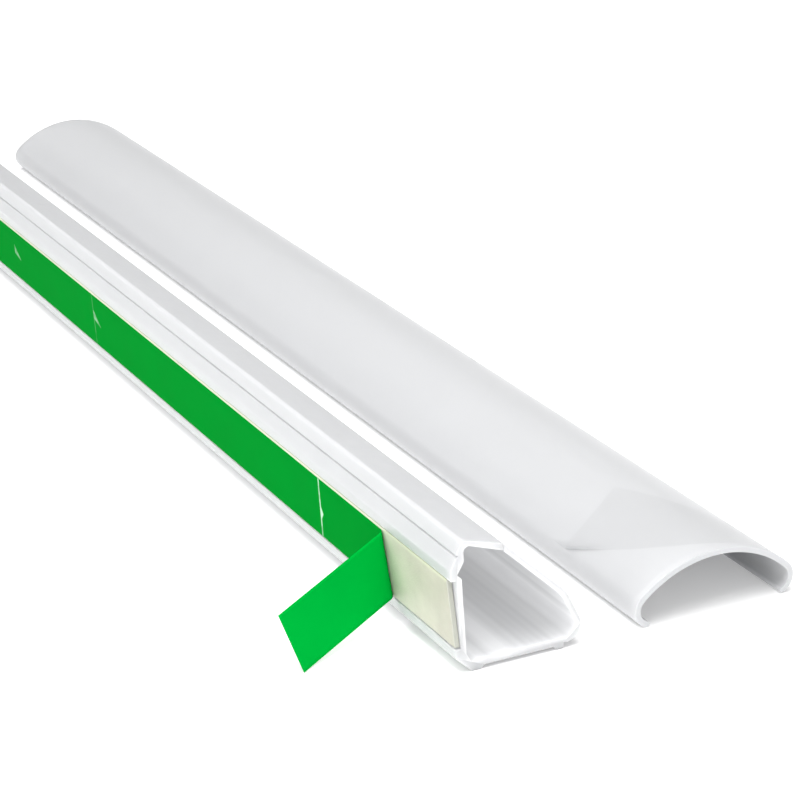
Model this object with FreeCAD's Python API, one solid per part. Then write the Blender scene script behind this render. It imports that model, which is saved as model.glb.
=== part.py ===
import FreeCAD, Part

import math
import os

from FreeCAD import Vector

# Corner cord raceway: an extruded base that sits in the corner of wall and floor,
# and its arched clip-on cover, which lies beside it. Millimetres, Z up, Y along both profiles.
# Sections are drawn with x across and z up, from the line where wall plane and floor plane meet.

# Both profiles
length = 410.0

# Base: the two legs and the wall between them
floor_leg = 30.9            # corner line to the outside of the nose
wall_leg = 31.4             # corner line to the top edge, measured up the leaning leg
leg_splay = 4.4             # degrees that the wall leg leans out from upright
wall = 1.3                  # thickness of the wall leg, ledge and closing wall
floor_wall = 1.9            # thickness of the floor leg
corner_bevel = 3.8          # flat across the outer corner
root_groove = 0.5           # depth of the crease inside the corner
root_slope = 1.5            # run of the slope from the crease up to the floor leg
foot_width = 2.1            # bearing strip beside the bevel, on each leg
heel_width = 1.7            # bearing strip at the far side of the floor leg
floor_relief = 0.9          # how far the floor leg stands clear between its strips

# Base: tape seat, bead and catch at the top of the wall leg
tape_width = 16.0
tape_side_gap = 0.2
tape_thickness = 1.25
liner_thickness = 0.15
liner_low_margin = 0.2      # tape that shows under the liner's lower edge
liner_high_margin = 0.4     # the same over its upper edge
bead_rise = 2.5             # straight height of the bead over the tape seat
bead_slope_height = 2.9     # height over which the bead slopes in to the catch groove
bead_slope_depth = 1.5
catch_groove_depth = 0.7
catch_groove_height = 0.6
top_edge_set_back = 3.1     # the top edge stands this far behind the wall plane

# Base: ledge, slit, closing wall and nose
ledge_slope = 15.5          # degrees down from the top edge to the slit
ledge_end_thickness = 1.75
slit_from_corner = 10.8
slit_width = 0.3
closing_slope = 42.8        # degrees down from the slit
flank_slope = 62.9          # degrees down, just above the nose
nose_radius = 3.7
nose_lift = 1.35            # room under the nose for the cover's right lip
closing_bend_radius = 9.0
heel_groove = 0.6           # groove between heel strip and nose

# Cover
cover_width = 42.7
cover_height = 15.2
cover_wall = 1.4
curl_radius = 4.4           # outside of the turned-in edges
left_lip_turn = 72.0        # degrees that the left lip goes past the widest point
right_lip_turn = 64.0       # the same on the right, where it springs under the nose
gap_to_cover = 14.1         # floor between the base's nose and the cover

# Tape liner, peeled back at the near end
peel_low = 29.5             # bare tape from the near end, along its lower edge
peel_high = 32.8            # the same along its upper edge
tab_low_length = 30.0
tab_high_length = 34.4
peel_angle = 69.0
peel_bend_radius = 1.9
peel_bend_steps = 5

# Protective film on the cover, its near left corner lifted and turned back.
# Plan points are a share of the film's width from its left edge, and mm from the near end.
film_thickness = 0.15
film_gap = 0.05             # air under the film
film_edge_angle = 44.4      # degrees either side of the crown that the film covers
film_front = [(0.0, 31.2), (0.084, 23.8), (0.238, 10.9), (0.442, 3.7), (0.769, 0.6)]
film_dip = (0.19, 32.9)     # a point on the turned edge, on the way to the corner
film_tip = (0.452, 39.6)    # where the turned corner lies
film_bulge = (0.813, 17.0)  # a point on the turned edge, on the way to the right

# Small rounds
edge_round = 0.25
sharp_round = 0.12
tight_round = 0.5
ledge_root_round = 1.2
bevel_round = 0.4
top_edge_round = 1.0
catch_round = 1.2

splay = math.radians(leg_splay)
tape_seat_depth = tape_thickness + liner_thickness
tape_low = corner_bevel + foot_width + tape_side_gap
tape_high = tape_low + tape_width
seat_low = tape_low - tape_side_gap
seat_high = tape_high + tape_side_gap


def on_leg(depth, height, y=0.0):
    """Point at a depth inside the wall plane and a height up the leaning wall leg."""
    x = depth * math.cos(splay) - height * math.sin(splay)
    z = depth * math.sin(splay) + height * math.cos(splay)
    return Vector(x, y, z)


def at(x, z):
    return Vector(x, 0, z)


def crossing(point_a, slope_a, point_b, slope_b):
    """Where two section lines meet, each given by a point and degrees downwards to the right."""
    run_a = -math.tan(math.radians(slope_a))
    run_b = -math.tan(math.radians(slope_b))
    x = (point_b.z - point_a.z + run_a * point_a.x - run_b * point_b.x) / (run_a - run_b)
    return at(x, point_a.z + run_a * (x - point_a.x))


def rounded_outline(corners):
    """Closed wire through the corners, each a point and the radius that rounds it."""
    count = len(corners)
    trims = []
    for i, (point, radius) in enumerate(corners):
        before = (corners[i - 1][0] - point).normalize()
        after = (corners[(i + 1) % count][0] - point).normalize()
        half = before.getAngle(after) / 2
        reach = radius / math.tan(half)
        middle = point + (before + after).normalize() * (radius / math.sin(half) - radius)
        trims.append((point + before * reach, middle, point + after * reach))
    edges = []
    for i, (start, middle, end) in enumerate(trims):
        edges.append(Part.Arc(start, middle, end).toShape())
        edges.append(Part.LineSegment(end, trims[(i + 1) % count][0]).toShape())
    return Part.Wire(edges)


def extrude_section(wire):
    return Part.Face(wire).extrude(Vector(0, length, 0))


def wall_leg_outside():
    """Corners up the outside of the wall leg, from its foot to the top edge."""
    bead_top = seat_high + bead_rise
    groove_low = bead_top + bead_slope_height
    groove_high = groove_low + catch_groove_height
    return [
        (on_leg(0, corner_bevel), bevel_round),
        (on_leg(0, seat_low), edge_round),
        (on_leg(tape_seat_depth, seat_low), sharp_round),
        (on_leg(tape_seat_depth, seat_high), sharp_round),
        (on_leg(0, seat_high), edge_round),
        (on_leg(0, bead_top), catch_round),
        (on_leg(bead_slope_depth, groove_low), edge_round),
        (on_leg(bead_slope_depth + catch_groove_depth, groove_low + sharp_round), sharp_round),
        (on_leg(bead_slope_depth + sharp_round, groove_high), sharp_round),
        (on_leg(top_edge_set_back, wall_leg), top_edge_round),
    ]


def wall_leg_inside():
    """Corners down the inside of the wall leg, from under the ledge to the corner."""
    inner = tape_seat_depth + wall
    bead_top = seat_high + bead_rise
    catch_inner = bead_slope_depth + catch_groove_depth + wall
    return [
        (on_leg(catch_inner, wall_leg - wall), ledge_root_round),
        (on_leg(catch_inner, bead_top + bead_slope_height / 2), catch_round),
        (on_leg(inner - top_edge_round, bead_top - wall), edge_round),
        (on_leg(inner, seat_high), edge_round),
    ]


def floor_leg_outside():
    """Corners along the underside, from the bevel to the groove before the nose."""
    heel_end = floor_leg - nose_radius - heel_groove
    heel_start = heel_end - heel_width
    foot_end = corner_bevel + foot_width
    return [
        (at(heel_end, nose_lift + heel_groove), sharp_round),
        (at(heel_end, 0), edge_round),
        (at(heel_start, 0), edge_round),
        (at(heel_start - floor_relief, floor_relief), edge_round),
        (at(foot_end + floor_relief, floor_relief), edge_round),
        (at(foot_end, 0), edge_round),
        (at(corner_bevel, 0), bevel_round),
    ]


def make_base():
    """Extruded base: two legs, tape seat, catch, slit ledge, closing wall and nose."""
    top_edge = on_leg(top_edge_set_back, wall_leg)
    slit_left = slit_from_corner
    slit_right = slit_from_corner + slit_width
    ledge_drop = (slit_left - top_edge.x) * math.tan(math.radians(ledge_slope))
    ledge_end = at(slit_left, top_edge.z - ledge_drop)
    closing_start = at(slit_right, ledge_end.z - slit_width)
    nose_centre = at(floor_leg - nose_radius, nose_lift + nose_radius)
    flank = math.radians(flank_slope)
    flank_touch = nose_centre + at(math.sin(flank), math.cos(flank)) * nose_radius
    closing_bend = crossing(closing_start, closing_slope, flank_touch, flank_slope)
    nose_corner = crossing(flank_touch, flank_slope, at(0, nose_lift), 0)

    inner_floor = floor_relief + floor_wall
    inner_nose_radius = nose_radius - wall
    closing_drop = wall / math.cos(math.radians(closing_slope))
    inner_start = closing_start - at(0, closing_drop)
    inner_touch = nose_centre + at(math.sin(flank), math.cos(flank)) * inner_nose_radius
    inner_bend = crossing(inner_start, closing_slope, inner_touch, flank_slope)
    inner_nose = crossing(inner_touch, flank_slope, at(0, inner_floor), 0)

    groove = at(corner_bevel - root_groove / 2, inner_floor - root_groove)
    wall_inner_foot = on_leg(tape_seat_depth + wall, corner_bevel + root_groove)
    corners = wall_leg_outside()
    corners += [
        (ledge_end, edge_round),
        (ledge_end - at(0, ledge_end_thickness), edge_round),
    ]
    corners += wall_leg_inside()
    corners += [
        (wall_inner_foot, tight_round),
        (groove, edge_round),
        (groove + at(root_slope, root_groove), tight_round),
        (inner_nose, inner_nose_radius),
        (inner_bend, closing_bend_radius - wall),
        (inner_start, edge_round),
        (closing_start, edge_round),
        (closing_bend, closing_bend_radius),
        (nose_corner, nose_radius),
    ]
    corners += [(at(floor_leg - nose_radius - heel_groove / 2, nose_lift), sharp_round)]
    corners += floor_leg_outside()
    return extrude_section(rounded_outline(corners))


def make_foam_tape():
    """Foam tape in its seat on the wall leg, as long as the base."""
    corners = [
        on_leg(liner_thickness, tape_low),
        on_leg(liner_thickness, tape_high),
        on_leg(tape_seat_depth, tape_high),
        on_leg(tape_seat_depth, tape_low),
    ]
    return extrude_section(Part.makePolygon(corners + corners[:1]))


def liner_section(low, high, inward):
    """Thin rectangle across the liner, from its tape side to its printed side."""
    skin = inward * liner_thickness
    return Part.makePolygon([low, high, high - skin, low - skin, low])


def make_release_liner():
    """Liner on the tape, lifted at the near end along a slanting fold and turned outwards."""
    liner_low = tape_low + liner_low_margin
    liner_high = tape_high - liner_high_margin
    low = on_leg(liner_thickness, liner_low, peel_low)
    high = on_leg(liner_thickness, liner_high, peel_high)
    inward = on_leg(1, 0)
    along = Vector(0, -1, 0)
    fold = (high - low).normalize()
    flat_low = on_leg(liner_thickness, liner_low, length)
    flat_high = on_leg(liner_thickness, liner_high, length)
    sections = [liner_section(flat_low, flat_high, inward), liner_section(low, high, inward)]
    step = peel_angle / peel_bend_steps
    stride = peel_bend_radius * math.radians(step)
    for i in range(peel_bend_steps):
        turn = FreeCAD.Rotation(fold, -step * (i + 0.5))
        low = low + turn.multVec(along) * stride
        high = high + turn.multVec(along) * stride
        sections.append(liner_section(low, high, FreeCAD.Rotation(fold, -step * (i + 1)).multVec(inward)))
    turn = FreeCAD.Rotation(fold, -peel_angle)
    tab_low = low + turn.multVec(along) * tab_low_length
    tab_high = high + turn.multVec(along) * tab_high_length
    sections.append(liner_section(tab_low, tab_high, turn.multVec(inward)))
    return Part.makeLoft(sections, True, True)


def curl_height():
    """Height of the curls' centres, with the left lip's rounded tip on the floor."""
    half_wall = cover_wall / 2
    return half_wall + (curl_radius - half_wall) * math.sin(math.radians(left_lip_turn))


def crown_radius():
    """Outside radius of the crown, which meets both curls without a corner."""
    half = cover_width / 2 - curl_radius
    rise = cover_height - curl_height()
    return (half * half + rise * rise - curl_radius * curl_radius) / (2 * (rise - curl_radius))


def make_cover(left):
    """Arched cover, both edges curled in to a lip."""
    half_wall = cover_wall / 2
    crown = crown_radius() - half_wall
    curl = curl_radius - half_wall
    middle = left + cover_width / 2
    crown_centre = at(middle, cover_height - crown_radius())
    curl_left = at(left + curl_radius, curl_height())
    curl_right = at(left + cover_width - curl_radius, curl_height())
    lean = math.atan2(curl_left.z - crown_centre.z, crown_centre.x - curl_left.x)
    shoulder = at(math.cos(lean), math.sin(lean))
    mirrored = at(-math.cos(lean), math.sin(lean))
    left_turn = math.radians(left_lip_turn)
    right_turn = math.radians(right_lip_turn)
    left_tip = curl_left - at(math.cos(left_turn), math.sin(left_turn)) * curl
    right_tip = curl_right + at(math.cos(right_turn), -math.sin(right_turn)) * curl
    path = Part.Wire([
        Part.Arc(left_tip, curl_left - at(curl, 0), curl_left + mirrored * curl).toShape(),
        Part.Arc(crown_centre + mirrored * crown, crown_centre + at(0, crown),
                 crown_centre + shoulder * crown).toShape(),
        Part.Arc(curl_right + shoulder * curl, curl_right + at(curl, 0), right_tip).toShape(),
    ])
    return extrude_section(path.makeOffset2D(half_wall, 0, False, False))


def arc_strip(centre, radius, thickness, half_angle):
    """Extruded strip of a tube's wall, either side of its top."""
    side = math.radians(half_angle)
    left = at(-math.sin(side), math.cos(side))
    right = at(math.sin(side), math.cos(side))
    top = at(0, 1)
    outer = radius + thickness
    wire = Part.Wire([
        Part.Arc(centre + left * radius, centre + top * radius, centre + right * radius).toShape(),
        Part.LineSegment(centre + right * radius, centre + right * outer).toShape(),
        Part.Arc(centre + right * outer, centre + top * outer, centre + left * outer).toShape(),
        Part.LineSegment(centre + left * outer, centre + left * radius).toShape(),
    ])
    return extrude_section(wire)


def upright_prism(corners):
    """Prism over a plan outline, taller than the cover."""
    points = [Vector(x, y, -cover_height) for x, y in corners]
    return Part.Face(Part.makePolygon(points + points[:1])).extrude(Vector(0, 0, 3 * cover_height))


def make_protective_film(left):
    """Clear film over the crown, its near left corner turned back flat on itself."""
    centre = at(left + cover_width / 2, cover_height - crown_radius())
    inside = crown_radius() + film_gap
    film = arc_strip(centre, inside, film_thickness, film_edge_angle)
    second = arc_strip(centre, inside + film_thickness, film_thickness, film_edge_angle)
    half_width = inside * math.sin(math.radians(film_edge_angle))
    film_left = centre.x - half_width
    film_width = 2 * half_width
    front = [(film_left + share * film_width, y) for share, y in film_front]
    corner = (film_left + film_width, 0)
    beyond = film_left - curl_radius
    removed = upright_prism(front + [corner, (corner[0], -curl_radius),
                                     (beyond, -curl_radius), (beyond, front[0][1])])
    turned_edge = [(film_left + share * film_width, y)
                   for share, y in (film_bulge, film_tip, film_dip)]
    flap = second.common(upright_prism(front + [corner] + turned_edge))
    return film.cut(removed).fuse(flap).removeSplitter()


def main():
    os.makedirs("parts", exist_ok=True)
    cover_left = floor_leg + gap_to_cover
    parts = {
        "base": make_base(),
        "foam_tape": make_foam_tape(),
        "release_liner": make_release_liner(),
        "cover": make_cover(cover_left),
        "protective_film": make_protective_film(cover_left),
    }
    tab_reach = min(vertex.X for vertex in parts["release_liner"].Vertexes)
    centre_x = (tab_reach + cover_left + cover_width) / 2
    to_origin = Vector(-centre_x, -length / 2, 0)
    for name, shape in parts.items():
        shape.translate(to_origin)
        shape.exportStep(os.path.join("parts", name + ".step"))
        box = shape.BoundBox
        print(name, shape.isValid(), len(shape.Solids), round(shape.Volume, 1),
              [round(v, 3) for v in (box.XMin, box.YMin, box.ZMin, box.XMax, box.YMax, box.ZMax)])


main()
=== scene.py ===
import bmesh
import bpy
import numpy as np
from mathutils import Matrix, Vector


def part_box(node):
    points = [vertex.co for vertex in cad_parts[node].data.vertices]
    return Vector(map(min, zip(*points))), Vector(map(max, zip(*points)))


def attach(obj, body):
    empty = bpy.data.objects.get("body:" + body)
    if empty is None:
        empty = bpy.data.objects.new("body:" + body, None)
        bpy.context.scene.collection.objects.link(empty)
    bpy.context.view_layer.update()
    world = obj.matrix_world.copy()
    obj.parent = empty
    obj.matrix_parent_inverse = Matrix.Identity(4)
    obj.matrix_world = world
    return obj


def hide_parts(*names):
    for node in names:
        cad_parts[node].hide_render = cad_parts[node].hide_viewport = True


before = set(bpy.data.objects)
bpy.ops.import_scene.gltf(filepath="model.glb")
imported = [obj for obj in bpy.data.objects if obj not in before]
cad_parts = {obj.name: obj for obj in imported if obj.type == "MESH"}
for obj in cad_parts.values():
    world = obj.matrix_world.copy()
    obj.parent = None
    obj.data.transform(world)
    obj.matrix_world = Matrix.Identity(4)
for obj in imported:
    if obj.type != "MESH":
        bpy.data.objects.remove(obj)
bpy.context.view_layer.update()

# Corner cord raceway, seen as it lies on a white studio table: an extruded base with foam
# tape along its wall leg, the tape's green liner peeled back at the near end, and the arched
# clip-on cover beside it with a clear film folded back at one corner. All sections are worked
# out in millimetres and laid along Y.

# Studio: the photograph's camera, a white table that fills the picture, a white surround,
# soft window light from above, a lamp over the near end and a low lamp at the left. The
# table gets a little lighter away from the object, as a lit backdrop does.
camera_place = Vector((-0.25314, -0.6113, 0.2482))
camera_aim = Vector((0.4305, 0.8234, -0.3697))
camera_lens = 110.25
table_reach = 8.0
table_colour = (0.97, 0.97, 0.97, 1)
near_glow, far_glow = 0.16, 0.30
glow_start, glow_end = 0.20, 0.70
surround_strength = 0.48
window_side = Vector((-0.26, 0.26, 0.93))
window_spread = np.radians(60)
window_strength = 1.85
lamps = {
    "near lamp": {"place": (-0.13, -0.32, 0.60), "aim": (0.0, -0.10, 0.0), "size": 0.4,
                  "power": 1.95},
    "low lamp": {"place": (-0.85, -0.30, 0.15), "aim": (0.0, 0.0, 0.01), "size": 0.3,
                 "power": 1.92},
}


def aim_object(thing, place, direction):
    """Puts a camera or lamp at a place, looking along a direction, with its top side up."""
    thing.location = place
    thing.rotation_euler = Vector(direction).to_track_quat("-Z", "Y").to_euler()
    bpy.context.scene.collection.objects.link(thing)


def add_node(tree, kind, inputs=(), **settings):
    """Adds a shader node with its settings, and plugs or sets its inputs by name or number."""
    node = tree.nodes.new("ShaderNode" + kind)
    for key, value in settings.items():
        setattr(node, key, value)
    for key, value in dict(inputs).items():
        if isinstance(value, bpy.types.NodeSocket):
            tree.links.new(value, node.inputs[key])
        else:
            node.inputs[key].default_value = value
    return node


camera = bpy.data.objects.new("camera", bpy.data.cameras.new("camera"))
camera.data.lens = camera_lens
camera.data.clip_start = 0.01
aim_object(camera, camera_place, camera_aim)
bpy.context.scene.camera = camera

for lamp_name, lamp in lamps.items():
    light = bpy.data.lights.new(lamp_name, "AREA")
    light.shape = "DISK"
    light.size = lamp["size"]
    light.energy = lamp["power"]
    place = Vector(lamp["place"])
    aim_object(bpy.data.objects.new(lamp_name, light), place, Vector(lamp["aim"]) - place)

window = bpy.data.lights.new("window light", "SUN")
window.angle = window_spread
window.energy = window_strength
aim_object(bpy.data.objects.new("window light", window), window_side, -window_side)

surround = bpy.data.worlds.new("white surround")
surround.use_nodes = True
surround.node_tree.nodes["Background"].inputs["Color"].default_value = (1, 1, 1, 1)
surround.node_tree.nodes["Background"].inputs["Strength"].default_value = surround_strength
bpy.context.scene.world = surround
bpy.context.scene.view_settings.view_transform = "Standard"

table_mesh = bpy.data.meshes.new("table")
table_mesh.from_pydata(
    [(-table_reach, -table_reach, 0), (table_reach, -table_reach, 0),
     (table_reach, table_reach, 0), (-table_reach, table_reach, 0)], [], [(0, 1, 2, 3)])
table = bpy.data.objects.new("table", table_mesh)
bpy.context.scene.collection.objects.link(table)
table_paint = bpy.data.materials.new("lit white table")
table_paint.use_nodes = True
table_tree = table_paint.node_tree
table_shader = table_tree.nodes["Principled BSDF"]
table_shader.inputs["Base Color"].default_value = table_colour
table_shader.inputs["Roughness"].default_value = 1.0
table_shader.inputs["Specular IOR Level"].default_value = 0.0
table_place = add_node(table_tree, "TexCoord").outputs["Object"]
from_middle = add_node(table_tree, "VectorMath", {0: table_place}, operation="LENGTH")
lit = add_node(table_tree, "MapRange", {
    "Value": from_middle.outputs["Value"], "From Min": glow_start, "From Max": glow_end,
    "To Min": near_glow, "To Max": far_glow})
table_tree.links.new(lit.outputs[0], table_shader.inputs["Emission Color"])
table_shader.inputs["Emission Strength"].default_value = 1.0
table_mesh.materials.append(table_paint)


# Base: one length of white rigid vinyl, extruded through a die, so its section is the same
# from end to end. It has a wall leg with the tape's seat, a bead and the catch for the
# cover, a thin ledge that ends at the slit, a closing wall, a rolled nose and a floor leg.
base_low, base_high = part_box("base")
near_end, far_end = base_low.y * 1000, base_high.y * 1000
floor_leg, wall_leg = 30.9, 31.4
leg_lean = np.radians(4.4)
vinyl_wall, floor_wall = 1.3, 1.9
corner_bevel, foot_width, heel_width, floor_relief = 3.8, 2.1, 1.7, 0.9
crease_depth, crease_run = 0.5, 1.5
tape_width, tape_side_gap = 16.0, 0.2
seat_depth = 1.4
bead_rise, bead_slope_height, bead_slope_depth = 2.5, 2.9, 1.5
catch_depth, catch_height = 0.7, 0.6
top_edge_set_back = 3.1
ledge_fall, ledge_end_thickness = np.radians(15.5), 1.75
slit_left, slit_width = 10.8, 0.3
closing_fall, flank_fall = np.radians(42.8), np.radians(62.9)
closing_bend_radius = 9.0
nose_radius, nose_lift, heel_groove = 3.7, 1.35, 0.6
sharp_round, edge_round, bevel_round, tight_round = 0.12, 0.25, 0.40, 0.50
top_edge_round, catch_round, ledge_root_round = 1.0, 1.2, 1.2

corner_x = base_high.x * 1000 - floor_leg
foot_end = corner_bevel + foot_width
tape_low = foot_end + tape_side_gap
tape_high = tape_low + tape_width
seat_low, seat_high = tape_low - tape_side_gap, tape_high + tape_side_gap
bead_top = seat_high + bead_rise
arc_points = 11
end_bevel, stations = 0.07, 24
base_colour = (0.52, 0.525, 0.535, 1)
base_scatter = 0.004
# painted glow on the channel's inside, standing in for light through the thin walls: its
# strength, how far in it fades from the open ends, and the share left deep inside
base_inner_glow = 0.33
glow_fade = 20.0
deep_glow = 0.6
vinyl_gloss = 0.22
cut_face_tone, cut_face_roughness, rubbed_roughness = 0.20, 0.25, 0.12
peel_share = 0.35
base_line_contrast, base_line_height = 0.03, 0.00002


def on_leg(depth, height):
    """X and z of a point at a depth inside the wall plane and a height up the leaning leg."""
    x = corner_x + depth * np.cos(leg_lean) - height * np.sin(leg_lean)
    z = depth * np.sin(leg_lean) + height * np.cos(leg_lean)
    return np.stack([x, z], axis=-1)


def from_corner(x, z):
    """X and z of a point measured from the line where wall plane and floor meet."""
    return np.array([corner_x + x, z])


def crossing(point_a, fall_a, point_b, fall_b):
    """Where two lines of the section meet, each given by a point and how steeply it falls to
    the right: the difference of their heights at x = 0, over the difference of their slopes."""
    slope_a, slope_b = -np.tan(fall_a), -np.tan(fall_b)
    height_a = point_a[1] - slope_a * point_a[0]
    height_b = point_b[1] - slope_b * point_b[0]
    x = (height_b - height_a) / (slope_a - slope_b)
    return np.array([x, height_a + slope_a * x])


def corner(place, rounding, glow=0.0):
    """One corner of the section: x, z, rounding radius, and the share of painted glow there,
    which stands in for light through the thin walls and which only the inside of the channel has."""
    return [*place, rounding, glow]


def wall_leg_outside():
    """Corners up the wall leg: bevel, tape seat, bead, catch groove and top edge."""
    catch_low = bead_top + bead_slope_height
    catch_back = bead_slope_depth + catch_depth
    return [
        corner(on_leg(0, corner_bevel), bevel_round),
        corner(on_leg(0, seat_low), edge_round),
        corner(on_leg(seat_depth, seat_low), sharp_round),
        corner(on_leg(seat_depth, seat_high), sharp_round),
        corner(on_leg(0, seat_high), edge_round),
        corner(on_leg(0, bead_top), catch_round),
        corner(on_leg(bead_slope_depth, catch_low), edge_round),
        corner(on_leg(catch_back, catch_low + sharp_round), sharp_round),
        corner(on_leg(bead_slope_depth + sharp_round, catch_low + catch_height), sharp_round),
        corner(on_leg(top_edge_set_back, wall_leg), top_edge_round),
    ]


def wall_leg_inside():
    """Corners down the inside of the wall leg, from under the ledge to its foot."""
    inner = seat_depth + vinyl_wall
    catch_inner = bead_slope_depth + catch_depth + vinyl_wall
    return [
        corner(on_leg(catch_inner, wall_leg - vinyl_wall), ledge_root_round, 0.3),
        corner(on_leg(catch_inner, bead_top + bead_slope_height / 2), catch_round, 0.4),
        corner(on_leg(inner - top_edge_round, bead_top - vinyl_wall), edge_round, 0.6),
        corner(on_leg(inner, seat_high), edge_round, 0.8),
        corner(on_leg(inner, corner_bevel + crease_depth), tight_round, 1.0),
    ]


def closing_corners():
    """Corners of ledge, channel, closing wall and nose. The closing wall's two slopes meet
    at its bend, and the lower one touches the nose's circle."""
    top_edge = on_leg(top_edge_set_back, wall_leg)
    slit_x = corner_x + slit_left
    ledge_end = np.array([slit_x, top_edge[1] - (slit_x - top_edge[0]) * np.tan(ledge_fall)])
    wall_top = ledge_end + (slit_width, -slit_width)
    wall_top_inside = wall_top - (0, vinyl_wall / np.cos(closing_fall))
    nose_centre = from_corner(floor_leg - nose_radius, nose_lift + nose_radius)
    nose_side = np.array([np.sin(flank_fall), np.cos(flank_fall)])
    flank = nose_centre + nose_side * nose_radius
    flank_inside = nose_centre + nose_side * (nose_radius - vinyl_wall)
    inner_floor = floor_relief + floor_wall
    crease = from_corner(corner_bevel - crease_depth / 2, inner_floor - crease_depth)
    ledge = [
        corner(ledge_end, edge_round),
        corner(ledge_end - (0, ledge_end_thickness), edge_round),
    ]
    channel = [
        corner(crease, edge_round, 0.9),
        corner(crease + (crease_run, crease_depth), tight_round, 1.0),
        corner(crossing(flank_inside, flank_fall, from_corner(0, inner_floor), 0),
               nose_radius - vinyl_wall, 1.1),
        corner(crossing(wall_top_inside, closing_fall, flank_inside, flank_fall),
               closing_bend_radius - vinyl_wall, 0.7),
        corner(wall_top_inside, edge_round, 0.3),
    ]
    outside = [
        corner(wall_top, edge_round),
        corner(crossing(wall_top, closing_fall, flank, flank_fall), closing_bend_radius),
        corner(crossing(flank, flank_fall, from_corner(0, nose_lift), 0), nose_radius),
    ]
    return ledge, channel, outside


def underside():
    """Corners from the groove beside the nose back to the bevel: heel strip, relief, foot."""
    heel_end = floor_leg - nose_radius - heel_groove
    heel_start = heel_end - heel_width
    return [
        corner(from_corner(heel_end + heel_groove / 2, nose_lift), sharp_round),
        corner(from_corner(heel_end, nose_lift + heel_groove), sharp_round),
        corner(from_corner(heel_end, 0), edge_round),
        corner(from_corner(heel_start, 0), edge_round),
        corner(from_corner(heel_start - floor_relief, floor_relief), edge_round),
        corner(from_corner(foot_end + floor_relief, floor_relief), edge_round),
        corner(from_corner(foot_end, 0), edge_round),
        corner(from_corner(corner_bevel, 0), bevel_round),
    ]


def rounded_outline(corners, count):
    """Closed outline through corners that are given as x, z and rounding radius.

    Each corner gives way to an arc that touches both of its sides. The arc's centre is on the
    line that halves the corner, its radius over the sine of the half angle away from the
    corner, and its angle runs evenly between the two points where it touches.
    """
    point, radius = corners[:, :2], corners[:, 2:3]
    before = np.roll(point, 1, axis=0) - point
    after = np.roll(point, -1, axis=0) - point
    before /= np.linalg.norm(before, axis=1, keepdims=True)
    after /= np.linalg.norm(after, axis=1, keepdims=True)
    half = np.arccos(np.clip((before * after).sum(1, keepdims=True), -1, 1)) / 2
    middle = before + after
    middle /= np.linalg.norm(middle, axis=1, keepdims=True)
    centre = point + middle * radius / np.sin(half)
    start = point + before * radius / np.tan(half) - centre
    end = point + after * radius / np.tan(half) - centre
    start_angle = np.arctan2(start[:, 1], start[:, 0])
    turn = np.arctan2(end[:, 1], end[:, 0]) - start_angle
    turn = (turn + np.pi) % (2 * np.pi) - np.pi
    angle = start_angle[:, None] + turn[:, None] * np.linspace(0, 1, count)
    arc = centre[:, None] + radius[:, None] * np.stack([np.cos(angle), np.sin(angle)], axis=2)
    return arc.reshape(-1, 2)


def drawn_in(outline, amount):
    """Closed outline moved inwards by an amount, square to the line between its neighbours."""
    along = np.roll(outline, -1, axis=0) - np.roll(outline, 1, axis=0)
    along /= np.linalg.norm(along, axis=1, keepdims=True)
    following = np.roll(outline, -1, axis=0)
    twice_area = (outline[:, 0] * following[:, 1] - following[:, 0] * outline[:, 1]).sum()
    inwards = np.stack([-along[:, 1], along[:, 0]], axis=1) * np.sign(twice_area)
    return outline + inwards * amount


def extruded_rings(outline, low, high, stations, bevel):
    """Rings of the outline from one end to the other, the two end rings drawn in to a small
    bevel: ring by point by x, y, z in millimetres. Between them the rings stand closer
    together towards both ends, as the cosine of an even share of half a turn."""
    inner = drawn_in(outline, bevel)
    share = (1 - np.cos(np.linspace(0, np.pi, stations))) / 2
    along = np.concatenate([[low], low + bevel + share * (high - low - 2 * bevel), [high]])
    rings = np.repeat(outline[None], len(along), axis=0)
    rings[0] = rings[-1] = inner
    y = np.repeat(along[:, None], len(outline), axis=1)
    return np.stack([rings[..., 0], y, rings[..., 1]], axis=2)


def grid_quads(rows, columns, closed):
    """Quads between neighbouring rows and columns of a grid, the last column joined to the
    first where the rows are closed rings. They face outwards where each ring runs clockwise,
    seen from the first ring along the piece."""
    index = np.arange(rows * columns).reshape(rows, columns)
    right = np.roll(index, -1, axis=1)
    if not closed:
        index, right = index[:, :-1], right[:, :-1]
    return np.stack([index[:-1], right[:-1], right[1:], index[1:]], axis=2).reshape(-1, 4)


def new_piece(name, vertices, quads, flat_faces=()):
    """Object at the origin from points in millimetres, with smooth quads and flat end faces."""
    mesh = bpy.data.meshes.new(name)
    faces = quads.tolist() + [list(face) for face in flat_faces]
    mesh.from_pydata((vertices.reshape(-1, 3) / 1000).tolist(), [], faces)
    smooth = np.arange(len(faces)) < len(quads)
    mesh.polygons.foreach_set("use_smooth", smooth)
    mesh.validate()
    piece = bpy.data.objects.new(name, mesh)
    bpy.context.scene.collection.objects.link(piece)
    return piece


def extruded_piece(name, outline, low, high, stations, bevel):
    """Solid with the outline as its section: the sides are a grid of rings along Y, and each
    cut end is one flat face over its ring. The outline runs clockwise, seen from the near end."""
    rings = extruded_rings(outline, low, high, stations, bevel)
    count = rings.shape[1]
    first = np.arange(count)
    last = first[::-1] + count * (len(rings) - 1)
    return new_piece(name, rings, grid_quads(len(rings), count, True), [first[::-1], last[::-1]])


def new_group(name, inputs, outputs):
    """Node group with named sockets, its input node and output node."""
    group = bpy.data.node_groups.new(name, "ShaderNodeTree")
    for socket, kind in inputs.items():
        group.interface.new_socket(socket, in_out="INPUT", socket_type="NodeSocket" + kind)
    for socket, kind in outputs.items():
        group.interface.new_socket(socket, in_out="OUTPUT", socket_type="NodeSocket" + kind)
    return group, group.nodes.new("NodeGroupInput"), group.nodes.new("NodeGroupOutput")


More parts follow.
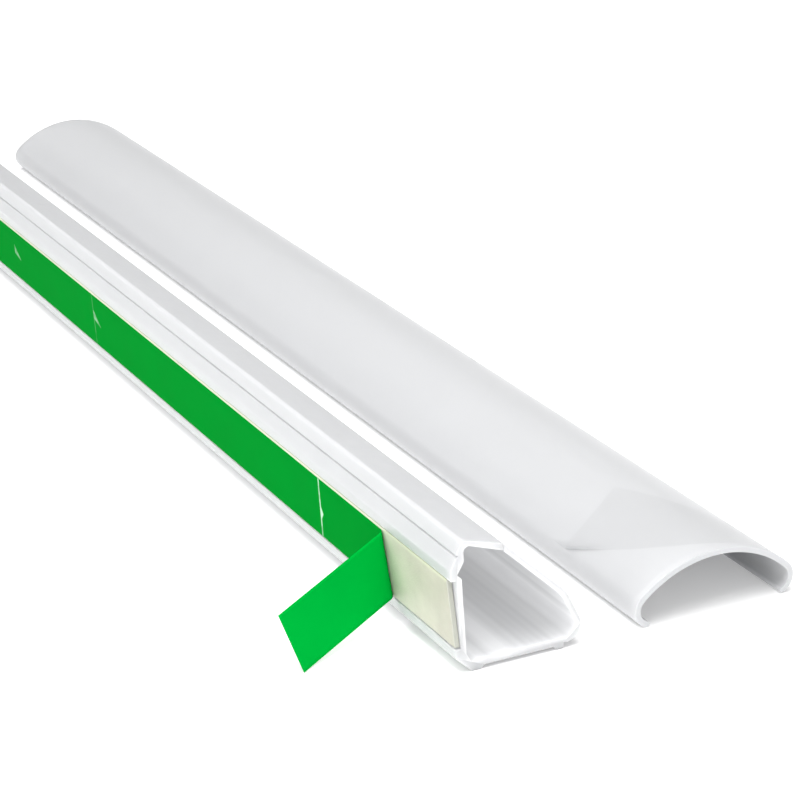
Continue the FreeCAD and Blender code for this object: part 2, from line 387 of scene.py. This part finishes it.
def vinyl_surface_group():
    """What a vinyl extrusion's skin looks like: faint lines from the die along Y, a soft
    mottle, rare rubbed spots, and fine saw marks where the length was cut off. It also gives
    broad bands along Y that vary the painted glow on the channel's inside."""
    group, given, result = new_group(
        "extruded vinyl skin",
        {"Colour": "Color", "Line Contrast": "Float", "Line Height": "Float"},
        {"Colour": "Color", "Roughness": "Float", "Height": "Float", "Painted Glow Bands": "Float"})
    place = add_node(group, "TexCoord").outputs["Object"]
    along = add_node(group, "Mapping", {"Vector": place, "Scale": (1, 0.006, 1)})
    die_lines = add_node(group, "TexNoise", {
        "Vector": along.outputs[0], "Scale": 650.0, "Detail": 5.0, "Roughness": 0.62})
    broad_lines = add_node(group, "TexNoise", {
        "Vector": along.outputs[0], "Scale": 170.0, "Detail": 2.0})
    mottle = add_node(group, "TexNoise", {"Vector": place, "Scale": 55.0, "Detail": 4.0})
    peel = add_node(group, "TexNoise", {"Vector": place, "Scale": 420.0, "Detail": 2.0})
    rubbed = add_node(group, "MapRange", {
        "Value": mottle.outputs["Fac"], "From Min": 0.60, "From Max": 0.74})
    normal = add_node(group, "NewGeometry").outputs["True Normal"]
    facing = add_node(group, "SeparateXYZ", {0: normal})
    across = add_node(group, "Math", {0: facing.outputs["Y"]}, operation="ABSOLUTE")
    cut = add_node(group, "Math", {0: across.outputs[0], 1: 0.9}, operation="GREATER_THAN")
    saw_place = add_node(group, "Mapping", {
        "Vector": place, "Rotation": (0, 0.5, 0), "Scale": (1, 1, 0.08)})
    saw_marks = add_node(group, "TexNoise", {
        "Vector": saw_place.outputs[0], "Scale": 2600.0, "Detail": 3.0})
    lines = add_node(group, "Mix", {
        "Factor": cut.outputs[0], "A": die_lines.outputs["Fac"],
        "B": saw_marks.outputs["Fac"]})
    tone = add_node(group, "Math", {
        0: lines.outputs[0], 1: 0.5}, operation="SUBTRACT")
    tone = add_node(group, "Math", {
        0: tone.outputs[0], 1: given.outputs["Line Contrast"]}, operation="MULTIPLY")
    broad = add_node(group, "MapRange", {
        "Value": broad_lines.outputs["Fac"], "To Min": -0.012, "To Max": 0.012})
    tone = add_node(group, "Math", {0: tone.outputs[0], 1: broad.outputs[0]}, operation="ADD")
    tone = add_node(group, "Math", {0: tone.outputs[0], 1: 1.0}, operation="ADD")
    tone = add_node(group, "Math", {
        0: cut.outputs[0], 1: cut_face_tone, 2: tone.outputs[0]}, operation="MULTIPLY_ADD")
    shaded = add_node(group, "VectorMath", {
        0: given.outputs["Colour"], "Scale": tone.outputs[0]}, operation="SCALE")
    roughness = add_node(group, "MapRange", {
        "Value": peel.outputs["Fac"], "To Min": 0.30, "To Max": 0.40})
    roughness = add_node(group, "Math", {
        0: rubbed.outputs[0], 1: rubbed_roughness, 2: roughness.outputs[0]},
        operation="MULTIPLY_ADD")
    roughness = add_node(group, "Math", {
        0: cut.outputs[0], 1: cut_face_roughness, 2: roughness.outputs[0]},
        operation="MULTIPLY_ADD")
    height = add_node(group, "Math", {
        0: peel.outputs["Fac"], 1: peel_share, 2: lines.outputs[0]}, operation="MULTIPLY_ADD")
    height = add_node(group, "Math", {
        0: height.outputs[0], 1: given.outputs["Line Height"]}, operation="MULTIPLY")
    # broad bands that vary the painted glow on the channel's inside
    painted_glow_bands = add_node(group, "MapRange", {
        "Value": broad_lines.outputs["Fac"], "From Min": 0.35, "From Max": 0.65,
        "To Min": 0.65, "To Max": 1.35})
    group.links.new(painted_glow_bands.outputs[0], result.inputs["Painted Glow Bands"])
    group.links.new(shaded.outputs[0], result.inputs["Colour"])
    group.links.new(roughness.outputs[0], result.inputs["Roughness"])
    group.links.new(height.outputs[0], result.inputs["Height"])
    return group


vinyl_skin = vinyl_surface_group()


def vinyl_material(name, colour, scatter, inner_glow, line_contrast, line_height):
    """Satin white vinyl: the shared skin with this piece's own colour and die lines, and a
    painted glow on the channel's inside where the mesh marks it.
    """
    material = bpy.data.materials.new(name)
    material.use_nodes = True
    tree = material.node_tree
    shader = tree.nodes["Principled BSDF"]
    skin = add_node(tree, "Group", node_tree=vinyl_skin)
    skin.inputs["Colour"].default_value = colour
    skin.inputs["Line Contrast"].default_value = line_contrast
    skin.inputs["Line Height"].default_value = line_height
    bump = add_node(tree, "Bump", {"Height": skin.outputs["Height"], "Distance": 1.0})
    tree.links.new(skin.outputs["Colour"], shader.inputs["Base Color"])
    tree.links.new(skin.outputs["Roughness"], shader.inputs["Roughness"])
    tree.links.new(bump.outputs["Normal"], shader.inputs["Normal"])
    shader.inputs["Specular IOR Level"].default_value = vinyl_gloss
    shader.inputs["Subsurface Weight"].default_value = 1.0
    shader.inputs["Subsurface Radius"].default_value = (1.0, 1.0, 1.0)
    shader.inputs["Subsurface Scale"].default_value = scatter
    # painted glow: emission on the channel's inside, varied in bands, standing in for light
    # through the thin walls
    inside = add_node(tree, "Attribute", attribute_name="painted_wall_glow").outputs["Fac"]
    through = add_node(tree, "Math", {0: inside, 1: skin.outputs["Painted Glow Bands"]}, operation="MULTIPLY")
    tree.links.new(through.outputs[0], shader.inputs["Emission Color"])
    shader.inputs["Emission Strength"].default_value = inner_glow
    return material


ledge, channel, closing_outside = closing_corners()
base_corners = np.array(
    wall_leg_outside() + ledge + wall_leg_inside() + channel + closing_outside + underside())
base_outline = rounded_outline(base_corners, arc_points)
base = extruded_piece("extruded_base", base_outline, near_end, far_end, stations, end_bevel)
# painted glow standing in for light through the thin walls: each corner's share, fading
# with the depth from the open ends
base_y = np.array([vertex.co.y for vertex in base.data.vertices]) * 1000
base_depth = np.minimum(base_y - near_end, far_end - base_y)
painted_wall_glow = np.resize(np.repeat(base_corners[:, 3], arc_points), len(base_y)) * (
    deep_glow + (1 - deep_glow) * np.exp(-base_depth / glow_fade))
base.data.attributes.new("painted_wall_glow", "FLOAT", "POINT").data.foreach_set("value", painted_wall_glow)
base.data.materials.append(vinyl_material(
    "white vinyl, base", base_colour, base_scatter, base_inner_glow, base_line_contrast,
    base_line_height))
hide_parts("base")
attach(base, "root")


# Foam tape: a strip of pale, closed foam with sticky film on both faces, cut from a roll
# and pressed into the seat of the wall leg. It shows only where the liner is off, and as a
# thin line along the liner's upper edge.
foam_face, foam_back = 0.17, 1.39
foam_corner = 0.22
foam_end_low, foam_end_high = 0.4, 2.2
foam_edge_band = 1.2
foam_end_gap, foam_end_bevel, foam_stations = 0.03, 0.12, 400
edge_inset, edge_ripple = 0.10, 0.08
# painted shade at the foam's near end: its share there, its share past the reach, and the reach
# in millimetres
near_shade_share, past_shade_share, shade_reach = 0.86, 1.12, 28.0
foam_colour = (0.585, 0.555, 0.475, 1)
foam_edge_colour = (0.73, 0.74, 0.57, 1)
foam_cut_colour = (0.56, 0.57, 0.50, 1)


def ripple(along, phase):
    """Uneven edge between -1 and 1: four sines along the length, each faster and weaker."""
    waves = np.array([0.21, 0.73, 1.9, 4.3])
    shares = np.array([0.4, 0.3, 0.2, 0.1])
    return (np.sin(along[..., None] * waves + phase * (1 + waves)) * shares).sum(-1)


foam_corners = np.array([
    (foam_face, tape_low, foam_corner), (foam_face, tape_high, foam_corner),
    (foam_back, tape_high, foam_corner / 4), (foam_back, tape_low, foam_corner / 4)])
foam_outline = rounded_outline(foam_corners, 7)
foam_rings = extruded_rings(foam_outline, near_end + foam_end_gap, far_end - foam_end_gap,
                            foam_stations, foam_end_bevel)
foam_height = foam_rings[..., 2]
share_high = (foam_height - tape_low) / (tape_high - tape_low)
foam_end = foam_end_low + (foam_end_high - foam_end_low) * np.clip(share_high, 0, 1)
foam_y = far_end - (far_end - foam_rings[..., 1]) * (far_end - near_end - foam_end) / (
    far_end - near_end)
front = np.clip((foam_back - foam_rings[..., 0]) / (foam_back - foam_face), 0, 1)
upper = foam_height > (tape_low + tape_high) / 2
foam_height = foam_height - front * np.where(
    upper, edge_inset + edge_ripple * ripple(foam_y, 1.0),
    -edge_inset - edge_ripple * ripple(foam_y, 4.0))
foam_xz = on_leg(foam_rings[..., 0], foam_height)
foam_points = np.stack([foam_xz[..., 0], foam_y, foam_xz[..., 1]], axis=-1)
foam_count = foam_points.shape[1]
foam_first = np.arange(foam_count)
foam_last = foam_first + foam_count * (len(foam_points) - 1)
foam_tape = new_piece("foam_strip", foam_points, grid_quads(len(foam_points), foam_count, True),
                      [foam_first[::-1], foam_last])


def foam_material():
    """Pale foam under a sticky film: fine cells, soft blotches of adhesive, a lighter line
    along the strip's upper edge, painted shade that darkens the near end and lightens the
    rest, and a duller, more open face where the strip was cut."""
    material = bpy.data.materials.new("pale adhesive foam")
    material.use_nodes = True
    tree = material.node_tree
    shader = tree.nodes["Principled BSDF"]
    place = add_node(tree, "TexCoord").outputs["Object"]
    cells = add_node(tree, "TexVoronoi", {"Vector": place, "Scale": 2600.0})
    blotches = add_node(tree, "TexNoise", {"Vector": place, "Scale": 130.0, "Detail": 5.0})
    fine = add_node(tree, "TexNoise", {"Vector": place, "Scale": 900.0, "Detail": 3.0})
    spread = add_node(tree, "MapRange", {
        "Value": blotches.outputs["Fac"], "From Min": 0.35, "From Max": 0.65,
        "To Min": 0.93, "To Max": 1.06})
    body = add_node(tree, "VectorMath", {
        0: foam_colour[:3], "Scale": spread.outputs[0]}, operation="SCALE")
    position = add_node(tree, "SeparateXYZ", {0: place})
    # painted shade: darker at the near end, lighter past the reach
    painted_near_shade = add_node(tree, "MapRange", {
        "Value": position.outputs["Y"], "From Min": near_end / 1000,
        "From Max": (near_end + shade_reach) / 1000, "To Min": near_shade_share,
        "To Max": past_shade_share})
    body = add_node(tree, "VectorMath", {
        0: body.outputs[0], "Scale": painted_near_shade.outputs[0]}, operation="SCALE")
    height = position.outputs["Z"]
    top = add_node(tree, "MapRange", {
        "Value": height, "From Min": (tape_high - foam_edge_band) / 1000,
        "From Max": tape_high / 1000})
    edged = add_node(tree, "Mix", {6: body.outputs[0], 7: foam_edge_colour}, data_type="RGBA")
    tree.links.new(top.outputs[0], edged.inputs[0])
    normal = add_node(tree, "NewGeometry").outputs["True Normal"]
    facing = add_node(tree, "SeparateXYZ", {0: normal})
    across = add_node(tree, "Math", {0: facing.outputs["Y"]}, operation="ABSOLUTE")
    cut = add_node(tree, "Math", {0: across.outputs[0], 1: 0.7}, operation="GREATER_THAN")
    coloured = add_node(tree, "Mix", {}, data_type="RGBA")
    tree.links.new(cut.outputs[0], coloured.inputs[0])
    tree.links.new(edged.outputs[2], coloured.inputs[6])
    coloured.inputs[7].default_value = foam_cut_colour
    roughness = add_node(tree, "MapRange", {
        "Value": fine.outputs["Fac"], "To Min": 0.34, "To Max": 0.62})
    bumps = add_node(tree, "Math", {
        0: cells.outputs["Distance"], 1: 0.6, 2: fine.outputs["Fac"]}, operation="MULTIPLY_ADD")
    bump = add_node(tree, "Bump", {"Height": bumps.outputs[0], "Distance": 0.00006})
    tree.links.new(coloured.outputs[2], shader.inputs["Base Color"])
    tree.links.new(roughness.outputs[0], shader.inputs["Roughness"])
    tree.links.new(bump.outputs["Normal"], shader.inputs["Normal"])
    return material


foam_tape.data.materials.append(foam_material())
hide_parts("foam_tape")
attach(foam_tape, "root")


# Release liner: a thin green film on the tape's sticky face. It is printed on its outer
# side and coated on the other, and whoever fits the raceway peels it off: at the near end
# it is already lifted along a slanting fold and stands out from the wall leg.
liner_low, liner_high = 6.32, 21.35
liner_skin = 0.15
liner_end_gap = 0.2
peel_low, peel_high = 29.5, 32.8
peel_angle = np.radians(69.0)
peel_radius = 1.9
tab_low_length, tab_high_length = 29.85, 34.25
print_side_colour = (0.0, 0.240, 0.020, 1)
coated_side_colour = (0.0, 0.465, 0.048, 1)
print_colour = (0.62, 0.85, 0.68, 1)
liner_gloss = 0.001
# printed marks, each a line across the strip at a distance from the near end, with a wedge
# on its near side: how strongly line and wedge are inked, and the wedge's place and size
printed_marks = (
    {"along": 64.3, "line_ink": 0.75, "wedge_ink": 0.8,
     "height": 12.6, "length": 1.3, "fall": 0.0, "half_thickness": 1.9},
    {"along": 210.5, "line_ink": 0.12, "wedge_ink": 0.4,
     "height": 15.4, "length": 4.8, "fall": 2.6, "half_thickness": 1.4},
    {"along": 277.0, "line_ink": 0.0, "wedge_ink": 0.35,
     "height": 15.5, "length": 4.8, "fall": 2.5, "half_thickness": 1.4},
)
across_count, flat_count, bend_count, tab_count = 21, 90, 19, 40


def leg_point(depth, height, along):
    """Point on the wall leg, as x, y, z."""
    x, z = on_leg(depth, height)
    return np.array([x, near_end + along, z])


fold_low = leg_point(0.0, liner_low, peel_low)
fold_high = leg_point(0.0, liner_high, peel_high)
fold = (fold_high - fold_low) / np.linalg.norm(fold_high - fold_low)
outwards = leg_point(-1.0, 0.0, 0.0) - leg_point(0.0, 0.0, 0.0)
towards = np.array([0.0, -1.0, 0.0])
strip_slant = towards @ fold
square_to_fold = towards - strip_slant * fold
strip_square = np.linalg.norm(square_to_fold)
square_to_fold /= strip_square


def liner_sheet(skin):
    """Liner's surface at a distance in from its printed side, station by across by x, y, z.

    Along the flat run a point goes straight from the far end to the fold. Round the fold it
    goes forward by the sine of the turned angle and outwards by one minus its cosine, times
    the bend's radius, and slides along the fold as far as the strip's own slant asks. Past
    the bend the tab runs on straight, still in the strip's direction.
    """
    far = np.linspace(leg_point(skin, liner_low, 0.0), leg_point(skin, liner_high, 0.0),
                      across_count)[None]
    far[..., 1] = far_end - liner_end_gap
    share_up = np.linspace(0, 1, across_count)[None, :, None]
    fold_start = fold_low + share_up * (fold_high - fold_low) - outwards * skin
    flat = far + np.linspace(0, 1, flat_count)[:, None, None] * (fold_start - far)
    turned = np.linspace(0, peel_angle, bend_count)[1:, None, None]
    forward = square_to_fold * np.sin(turned) + outwards * (1 - np.cos(turned))
    slide = fold * turned * strip_slant / strip_square
    bend = fold_start + (peel_radius + skin) * forward + peel_radius * slide
    ahead = strip_slant * fold + strip_square * (
        square_to_fold * np.cos(peel_angle) + outwards * np.sin(peel_angle))
    length = tab_low_length + share_up * (tab_high_length - tab_low_length)
    tab = bend[-1:] + np.linspace(0, 1, tab_count)[1:, None, None] * length * ahead
    return np.concatenate([flat, bend, tab])


outer, inner = liner_sheet(0.0), liner_sheet(liner_skin)
liner_rings = np.concatenate([outer, inner[:, ::-1]], axis=1)
liner_count = liner_rings.shape[1]
liner_first = np.arange(liner_count)
liner_last = liner_first + liner_count * (len(liner_rings) - 1)
# the rings run from the far end to the tab, so the quads are turned over to face outwards
liner_quads = grid_quads(len(liner_rings), liner_count, True)[:, ::-1]
release_liner = new_piece(
    "green_liner", liner_rings, liner_quads, [liner_first, liner_last[::-1]])


def printed_mark(tree, along, height, mark):
    """Mask of one mark: a thin line across the strip at a distance from the near end, and a
    wedge that starts on it, falls evenly along its length and gets thinner towards its tip."""
    line_place = (near_end + mark["along"]) / 1000
    gone = add_node(tree, "Math", {0: line_place, 1: along}, operation="SUBTRACT")
    off_line = add_node(tree, "Math", {0: gone.outputs[0]}, operation="ABSOLUTE")
    line = add_node(tree, "MapRange", {
        "Value": off_line.outputs[0], "From Min": 0.00016, "From Max": 0.00034,
        "To Min": mark["line_ink"], "To Max": 0.0})
    share = add_node(tree, "Math", {
        0: gone.outputs[0], 1: mark["length"] / 1000}, operation="DIVIDE")
    middle = add_node(tree, "Math", {
        0: share.outputs[0], 1: -mark["fall"] / 1000, 2: mark["height"] / 1000},
        operation="MULTIPLY_ADD")
    off_middle = add_node(tree, "Math", {0: height, 1: middle.outputs[0]}, operation="SUBTRACT")
    off_middle = add_node(tree, "Math", {0: off_middle.outputs[0]}, operation="ABSOLUTE")
    half = add_node(tree, "MapRange", {
        "Value": share.outputs[0], "To Min": mark["half_thickness"] / 1000,
        "To Max": 0.0001})
    inside = add_node(tree, "Math", {
        0: half.outputs[0], 1: off_middle.outputs[0]}, operation="SUBTRACT")
    wedge = add_node(tree, "MapRange", {
        "Value": inside.outputs[0], "From Min": -0.0002, "From Max": 0.0003,
        "To Max": mark["wedge_ink"]})
    from_line = add_node(tree, "Math", {0: share.outputs[0], 1: 0.5}, operation="COMPARE")
    from_line.inputs[2].default_value = 0.5
    wedge = add_node(tree, "Math", {
        0: wedge.outputs[0], 1: from_line.outputs[0]}, operation="MULTIPLY")
    return add_node(tree, "Math", {
        0: line.outputs[0], 1: wedge.outputs[0]}, operation="MAXIMUM").outputs[0]


def liner_material():
    """Green film: the printed side has thin pale lines across it, each with a small wedge,
    and the coated side is plain and brighter. Which side it is comes from a vertex mark."""
    material = bpy.data.materials.new("green release film")
    material.use_nodes = True
    tree = material.node_tree
    shader = tree.nodes["Principled BSDF"]
    place = add_node(tree, "TexCoord").outputs["Object"]
    side = add_node(tree, "Attribute", attribute_name="printed_side").outputs["Fac"]
    waver = add_node(tree, "TexNoise", {"Vector": place, "Scale": 380.0, "Detail": 2.0})
    soft = add_node(tree, "TexNoise", {"Vector": place, "Scale": 90.0, "Detail": 3.0})
    along = add_node(tree, "SeparateXYZ", {0: place}).outputs["Y"]
    drifted = add_node(tree, "Math", {
        0: waver.outputs["Fac"], 1: 0.0002, 2: along}, operation="MULTIPLY_ADD").outputs[0]
    from_corner = add_node(tree, "VectorMath", {
        0: place, 1: (corner_x / 1000, 0, 0)}, operation="SUBTRACT")
    height = add_node(tree, "VectorMath", {
        0: from_corner.outputs[0], 1: (-np.sin(leg_lean), 0, np.cos(leg_lean))},
        operation="DOT_PRODUCT").outputs["Value"]
    marks = [printed_mark(tree, drifted, height, mark) for mark in printed_marks]
    all_marks = marks[0]
    for mark in marks[1:]:
        both = add_node(tree, "Math", {0: all_marks, 1: mark}, operation="MAXIMUM")
        all_marks = both.outputs[0]
    worn = add_node(tree, "MapRange", {
        "Value": waver.outputs["Fac"], "From Min": 0.36, "From Max": 0.52,
        "To Min": 0.45, "To Max": 1.0})
    ink = add_node(tree, "Math", {
        0: all_marks, 1: worn.outputs[0]}, operation="MULTIPLY")
    printed_side = add_node(tree, "Mix", {
        0: ink.outputs[0], 6: print_side_colour, 7: print_colour}, data_type="RGBA")
    both_sides = add_node(tree, "Mix", {
        0: side, 6: coated_side_colour, 7: printed_side.outputs[2]}, data_type="RGBA")
    shade = add_node(tree, "MapRange", {
        "Value": soft.outputs["Fac"], "To Min": 0.93, "To Max": 1.07})
    coloured = add_node(tree, "VectorMath", {
        0: both_sides.outputs[2], "Scale": shade.outputs[0]}, operation="SCALE")
    rough = add_node(tree, "MapRange", {
        "Value": soft.outputs["Fac"], "To Min": 0.38, "To Max": 0.50})
    bump = add_node(tree, "Bump", {"Height": soft.outputs["Fac"], "Distance": 0.00015})
    shader.inputs["Specular IOR Level"].default_value = liner_gloss
    tree.links.new(coloured.outputs[0], shader.inputs["Base Color"])
    tree.links.new(rough.outputs[0], shader.inputs["Roughness"])
    tree.links.new(bump.outputs["Normal"], shader.inputs["Normal"])
    return material


printed = np.zeros(liner_rings.shape[:2], np.float32)
printed[:, :across_count] = 1.0
side_mark = release_liner.data.attributes.new("printed_side", "FLOAT", "POINT")
side_mark.data.foreach_set("value", printed.ravel())
release_liner.data.materials.append(liner_material())
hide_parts("release_liner")
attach(release_liner, "root")


# Cover: the clip-on front of the raceway, a second white vinyl extrusion. It is a low arch
# with both edges curled in to a lip. Here it lies on the table, on its left lip.
cover_low, cover_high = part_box("cover")
cover_left = cover_low.x * 1000
cover_right = cover_high.x * 1000
cover_height = 15.2
cover_wall = 1.4
curl_radius = 4.4
left_lip_turn = np.radians(72.0)
right_lip_turn = np.radians(64.0)
cover_colour = (0.595, 0.60, 0.61, 1)
cover_scatter = 0.0004
cover_line_contrast, cover_line_height = 0.025, 0.00002
curl_points, crown_points, lip_points = 41, 97, 13

cover_middle = (cover_left + cover_right) / 2
half_span = (cover_right - cover_left) / 2 - curl_radius
# the left lip's round end stands on the floor, and the crown's circle touches both curls'
# circles, which gives its radius and the lean of the line where they touch
curl_height = cover_wall / 2 + (curl_radius - cover_wall / 2) * np.sin(left_lip_turn)
crown_rise = cover_height - curl_height
crown_outer = (half_span ** 2 + crown_rise ** 2 - curl_radius ** 2) / (
    2 * (crown_rise - curl_radius))
crown_lean = np.arctan2(crown_outer - crown_rise, half_span)


def arc(centre, radius, start, end, count):
    """Points on a circle, each with its outward direction, the angle running evenly."""
    angle = np.linspace(start, end, count)
    direction = np.stack([np.cos(angle), np.sin(angle)], axis=1)
    return np.concatenate([np.array(centre) + direction * radius, direction], axis=1)


def cover_outline():
    """Cover's section: three arcs laid end to end as the wall's middle line, moved half the
    wall to each side, with a half circle round each lip. No point is below the floor."""
    half = cover_wall / 2
    curl = curl_radius - half
    runs = [
        arc((cover_left + curl_radius, curl_height), curl,
            np.pi + left_lip_turn, np.pi - crown_lean, curl_points),
        arc((cover_middle, cover_height - crown_outer), crown_outer - half,
            np.pi - crown_lean, crown_lean, crown_points)[1:],
        arc((cover_right - curl_radius, curl_height), curl,
            crown_lean, -right_lip_turn, curl_points)[1:],
    ]
    line = np.concatenate([run[:, :2] for run in runs])
    outward = np.concatenate([run[:, 2:] for run in runs])
    turn = np.linspace(0, np.pi, lip_points)[1:-1, None]
    lips = []
    ends = ((line[-1], outward[-1], line[-2]), (line[0], -outward[0], line[1]))
    for tip, side, inner in ends:
        ahead = (tip - inner) / np.linalg.norm(tip - inner)
        lips.append(tip + half * (side * np.cos(turn) + ahead * np.sin(turn)))
    outline = [line + outward * half, lips[0], (line - outward * half)[::-1], lips[1]]
    return np.maximum(np.concatenate(outline), (-np.inf, 0.0))


cover = extruded_piece("arched_cover", cover_outline(), near_end, far_end, stations, end_bevel)
cover.data.materials.append(vinyl_material(
    "white vinyl, cover", cover_colour, cover_scatter, 0.0, cover_line_contrast,
    cover_line_height))
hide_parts("cover")
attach(cover, "root")


# Protective film: thin clear film that keeps the cover's crown from scratches until it is
# fitted. It clings to the crown, and its near left corner has come loose: there it turns
# back in a soft loop and lies over itself, so that it is double and the vinyl is bare.
film_side = np.radians(44.4)
film_gap = 0.05
film_skin = 0.07
front_back = 31.2
front_bend = 3.6
front_margin, far_margin = 0.9, 3.0
turned_corner = np.array([20.6, 39.6])
edge_dip = 1.9
corner_column = 0.177
loop_radius = 0.4
rest_lift = 0.2
sink_reach = 4.0
loops_per_run = 5
# the fold's denser line, partly painted shadow under the loop: how far across it reaches, and how
# it fades over the first turned rows
fold_shade_reach = 0.16
fold_shade_fade = (1.0, 0.6, 0.4, 0.2, 0.1)
cling_band = 4.0
flap_fade_end, flap_fade_width = 0.95, 0.5
# haze of the film, and the extra haze of the fold line, which is partly painted shadow
film_haze, fold_haze_and_shade = (0.009, 0.018), 0.15
column_count, column_crowding = 71, 1.5
laid_count, loop_count, turned_count = 60, 14, 31
film_colour = (0.56, 0.57, 0.585, 1)
film_base_radius = crown_outer + film_gap
film_width = 2 * film_side * film_base_radius


def over_crown(across, along, lift):
    """Point of the film: its distance across becomes an angle about the crown's centre line,
    and its lift is added to the radius."""
    angle = (across - film_width / 2) / film_base_radius
    radius = film_base_radius + lift
    x = cover_middle + radius * np.sin(angle)
    z = cover_height - crown_outer + radius * np.cos(angle)
    return np.stack([x, near_end + along, z], axis=-1)


def film_path():
    """Film as one grid, each column a path laid on the crown and unrolled as across by along.

    A column starts at the far end and comes forward to the front where the film turns back,
    whose distance from the near end falls as a power of the distance from the right edge.
    It goes round a half circle there, and then straight to its own point on the turned
    edge, which runs from the left edge to the turned corner and on to the right edge. Its
    height sinks from the loop's to the height at rest, by the exponential of the way gone.
    With the points come each one's crease, a denser line along the fold that is partly
    painted shadow under the loop, strongest at the left of the fold, and its share of the
    haze, which fades towards the film's sides and along the flap to the right.
    """
    column = np.linspace(0, 1, column_count)[:, None] ** column_crowding
    front_along = front_margin + (front_back - front_margin) * (1 - column) ** front_bend
    front = np.stack([column * film_width, front_along], axis=-1)
    left, right = front[0, 0], front[-1, 0]
    first = np.clip(column / corner_column, 0, 1)[..., None]
    second = np.clip((column - corner_column) / (1 - corner_column), 0, 1)[..., None]
    edge = np.where(second > 0, turned_corner + (right - turned_corner) * second,
                    left + (turned_corner - left) * first)
    edge[:, 0, 1] -= (4 * edge_dip * first * (1 - first))[:, 0, 0]
    run = np.linalg.norm(edge - front, axis=-1, keepdims=True)
    back = (edge - front) / np.maximum(run, 1e-6)
    way = np.linspace(1, 0, laid_count)[None, :, None]
    laid = front + np.array([0.0, 1.0]) * way * (
        far_end - near_end - far_margin - front[..., 1:])
    loop = np.minimum(loop_radius, run / loops_per_run)
    turn = np.linspace(0, np.pi, loop_count + 1)[None, 1:, None]
    looped = front - back * loop * np.sin(turn)
    gone = np.linspace(0, 1, turned_count + 1)[None, 1:, None] * run
    turned = front + back * gone
    flat = np.concatenate([laid, looped, turned], axis=1)
    sink = rest_lift + (2 * loop - rest_lift) * np.exp(-gone / sink_reach)
    lift = np.concatenate([0 * way + 0 * run, loop * (1 - np.cos(turn)),
                           np.minimum(sink, 2 * loop)], axis=1)[..., 0]
    # crease: a denser line along the fold, partly painted shadow under the loop
    crease = np.zeros(lift.shape)
    fold_row, turned_row = laid_count - 1, laid_count + loop_count
    fold_shade_end = turned_row + len(fold_shade_fade)
    crease[:, fold_row:fold_shade_end] = np.clip(1 - column / fold_shade_reach, 0, 1) ** 2
    crease[:, turned_row:fold_shade_end] *= fold_shade_fade
    cling = np.ones(lift.shape)
    from_edge = np.minimum(front[..., 0], film_width - front[..., 0])
    cling[:, :fold_row] = np.clip(from_edge / cling_band, 0, 1)
    cling[:, fold_row:] = np.clip((flap_fade_end - column) / flap_fade_width, 0, 1)
    return over_crown(flat[..., 0], flat[..., 1], lift), crease, cling


film_points, film_fold_shade, film_cling = film_path()
protective_film = new_piece("clear_film", film_points, grid_quads(*film_points.shape[:2], False))
for mark_name, mark_values in (("crease", film_fold_shade), ("haze_share", film_cling)):
    film_mark = protective_film.data.attributes.new(mark_name, "FLOAT", "POINT")
    film_mark.data.foreach_set("value", mark_values.ravel())
# the loop shrinks to nothing at the right edge, where its points are joined into one
film_shape = bmesh.new()
film_shape.from_mesh(protective_film.data)
bmesh.ops.remove_doubles(film_shape, verts=film_shape.verts, dist=1e-6)
film_shape.to_mesh(protective_film.data)
film_shape.free()
thickness = protective_film.modifiers.new("film thickness", "SOLIDIFY")
thickness.thickness = film_skin / 1000
thickness.offset = 1.0


def film_material():
    """Clear film with a faint haze: mostly see-through, satin, with a denser line along the fold
    that is partly painted shadow under the loop.
    """
    material = bpy.data.materials.new("clear film")
    material.use_nodes = True
    tree = material.node_tree
    shader = tree.nodes["Principled BSDF"]
    place = add_node(tree, "TexCoord").outputs["Object"]
    haze = add_node(tree, "TexNoise", {"Vector": place, "Scale": 45.0, "Detail": 3.0})
    alpha = add_node(tree, "MapRange", {
        "Value": haze.outputs["Fac"], "To Min": film_haze[0], "To Max": film_haze[1]})
    rough = add_node(tree, "MapRange", {
        "Value": haze.outputs["Fac"], "To Min": 0.22, "To Max": 0.34})
    bump = add_node(tree, "Bump", {"Height": haze.outputs["Fac"], "Distance": 0.0002})
    shader.inputs["Base Color"].default_value = film_colour
    crease = add_node(tree, "Attribute", attribute_name="crease").outputs["Fac"]
    share = add_node(tree, "Attribute", attribute_name="haze_share").outputs["Fac"]
    alpha = add_node(tree, "Math", {0: alpha.outputs[0], 1: share}, operation="MULTIPLY")
    # the fold line gets extra haze: partly a denser fold, partly painted shadow under the loop
    alpha = add_node(tree, "Math", {
        0: crease, 1: fold_haze_and_shade, 2: alpha.outputs[0]}, operation="MULTIPLY_ADD")
    tree.links.new(alpha.outputs[0], shader.inputs["Alpha"])
    tree.links.new(rough.outputs[0], shader.inputs["Roughness"])
    tree.links.new(bump.outputs["Normal"], shader.inputs["Normal"])
    return material


protective_film.data.materials.append(film_material())
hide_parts("protective_film")
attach(protective_film, "root")
